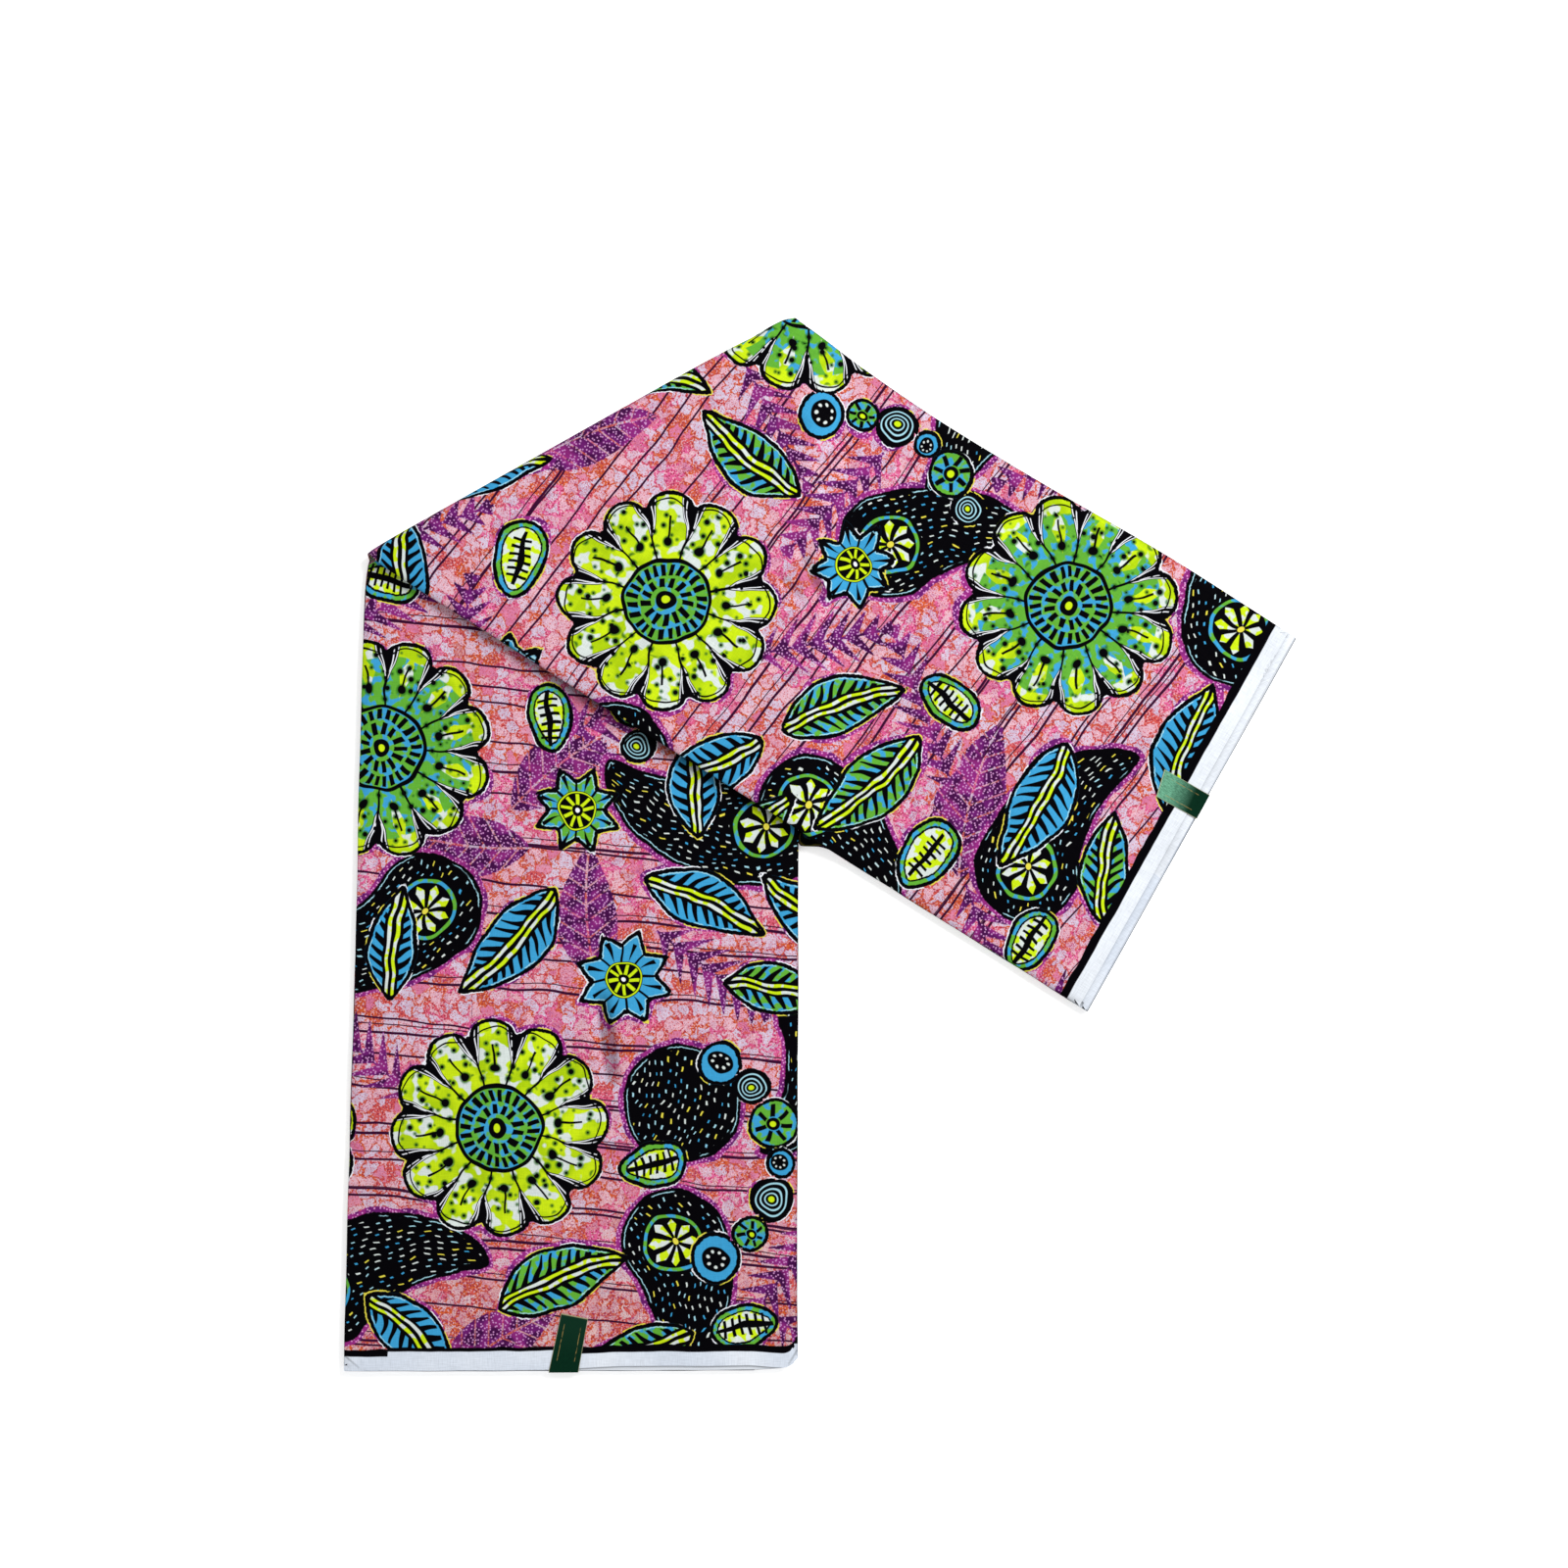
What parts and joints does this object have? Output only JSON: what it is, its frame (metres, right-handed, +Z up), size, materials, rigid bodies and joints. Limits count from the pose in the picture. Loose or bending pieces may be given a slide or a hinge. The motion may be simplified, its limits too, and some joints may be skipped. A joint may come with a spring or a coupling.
{
  "type": "folded printed cotton cloth",
  "caption": "Length of wax-print cotton folded into a flat pack of leaves and turned over once along a slanting fold, with a paper sticker over each selvedge.",
  "frame": {"origin": "middle of the footprint, on the surface that the cloth lies on", "axes": "+Z up from the surface; +Y along the lower stretch, from its selvedge to the slanting fold; +X to the side that the upper stretch lies on"},
  "size_m": [0.6864, 0.7626, 0.016],
  "materials": {
    "printed_cotton": "calendered cotton print in coral, pink, purple, blue, green and black, with bare white selvedges",
    "green_paper": "coated dark green paper, satin"
  },
  "bodies": {
    "root": {"cloth": "printed_cotton", "sticker_hem": "green_paper", "sticker_end": "green_paper"}
  },
  "joints": []
}
